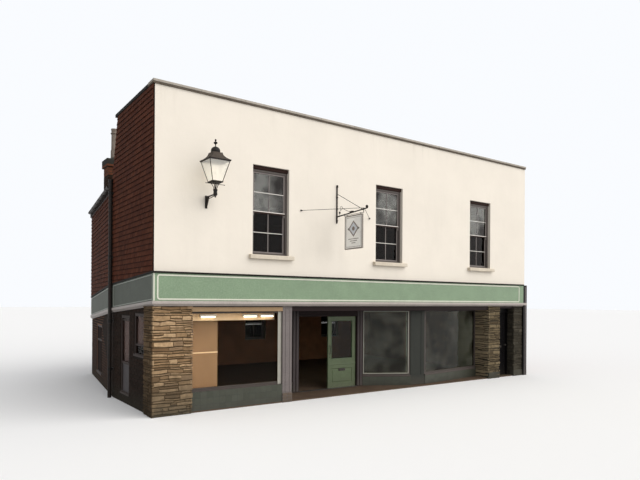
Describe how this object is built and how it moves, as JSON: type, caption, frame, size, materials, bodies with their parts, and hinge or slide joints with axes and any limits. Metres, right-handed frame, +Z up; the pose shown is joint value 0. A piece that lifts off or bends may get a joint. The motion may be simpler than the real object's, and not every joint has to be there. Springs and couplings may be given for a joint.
{
  "type": "corner shop building",
  "caption": "Two-storey corner shop with a cream rendered street front, sage name board, tile-hung lane side, wall lantern and hanging sign.",
  "frame": {"origin": "street corner of the walls, on the ground, under the corner pier", "axes": "+X along the street front to the right, +Y back along the lane, +Z up"},
  "size_m": [12.9105, 9.4808, 7.55],
  "materials": {
    "tan_rubble": "rough, lime mortar joints",
    "brown_rubble": "rough, weathered",
    "black_paint": "satin",
    "lilac_paint": "painted, matt",
    "dark_paint": "painted, satin",
    "cream_render": "smooth painted render",
    "coping_stone": "weathered",
    "lane_masonry": "weathered brick and rubble",
    "hung_tiles": "matt clay",
    "red_brick": "matt brick with mortar joints",
    "floor_screed": "smooth",
    "floor_boards": "plain boards",
    "roof_felt": "matt",
    "roof_tiles": "matt clay",
    "cast_iron": "black paint, satin",
    "clay_pot": "weathered clay",
    "sage_paint": "painted, satin",
    "stallriser_tiles": "worn glaze",
    "cream_joinery": "painted, satin",
    "green_paint": "painted, satin",
    "grey_joinery": "painted, satin",
    "mauve_joinery": "painted, satin",
    "white_joinery": "painted, satin",
    "window_glass": "clear",
    "lantern_pane": "frosted",
    "sign_paint": "painted, satin"
  },
  "bodies": {
    "building": {"corner_pier": "tan_rubble", "middle_pier": "brown_rubble", "end_pier": "brown_rubble", "end_pilaster": "black_paint", "shop_pilaster": "lilac_paint", "shop_post": "lilac_paint", "shopfront_beam": "lilac_paint", "shopfront_soffit": "dark_paint", "front_upper_wall": "cream_render", "front_coping": "coping_stone", "parapet_capping": "coping_stone", "side_lower_wall": "lane_masonry", "side_upper_wall": "hung_tiles", "rear_lane_lower_wall": "lane_masonry", "rear_lane_upper_wall": "hung_tiles", "rear_wall": "red_brick", "block_rear_wall": "red_brick", "party_wall": "red_brick", "ground_floor": "floor_screed", "first_floor": "floor_boards", "block_roof": "roof_felt", "rear_roof_front": "roof_tiles", "rear_roof_back": "roof_tiles", "rear_roof_hip": "roof_tiles", "eaves_gutter": "cast_iron", "lane_downpipe": "cast_iron", "chimney_stack": "red_brick", "chimney_pot": "clay_pot", "front_fascia": "sage_paint", "side_fascia": "sage_paint", "rear_side_fascia": "sage_paint", "fascia_cornice": "lilac_paint", "stallrisers": "stallriser_tiles", "display_windows": "cream_joinery", "display_glass": "window_glass", "entrance_frame": "dark_paint", "open_door_leaf": "green_paint", "black_door_frame": "black_paint", "side_windows": "grey_joinery", "side_window_glass": "window_glass", "sash_windows": "mauve_joinery", "sash_glass": "window_glass", "window_sills": "coping_stone", "rear_windows": "white_joinery", "rear_window_glass": "window_glass", "lantern_bracket": "cast_iron", "lantern_frame": "cast_iron", "lantern_glass": "lantern_pane", "sign_bracket": "cast_iron", "sign_stays": "cast_iron"},
    "shop_door": {"shop_door": "green_paint", "shop_door_glass": "window_glass"},
    "black_door": {"black_door": "black_paint"},
    "sign_board": {"sign_board": "sign_paint"}
  },
  "joints": [
    {"name": "shop_door_hinge", "type": "hinge", "parent": "building", "child": "shop_door", "pos_m": [6.17, 1.008, 1], "axis": [0, 0, -1], "range_deg": [0, 90]},
    {"name": "black_door_hinge", "type": "hinge", "parent": "building", "child": "black_door", "pos_m": [11.404, 0.308, 1], "axis": [0, 0, 1], "range_deg": [0, 90]},
    {"name": "sign_swing", "type": "hinge", "parent": "building", "child": "sign_board", "pos_m": [4.75, -0.71, 4.6], "axis": [0, 1, 0], "range_deg": [-20, 20]}
  ]
}
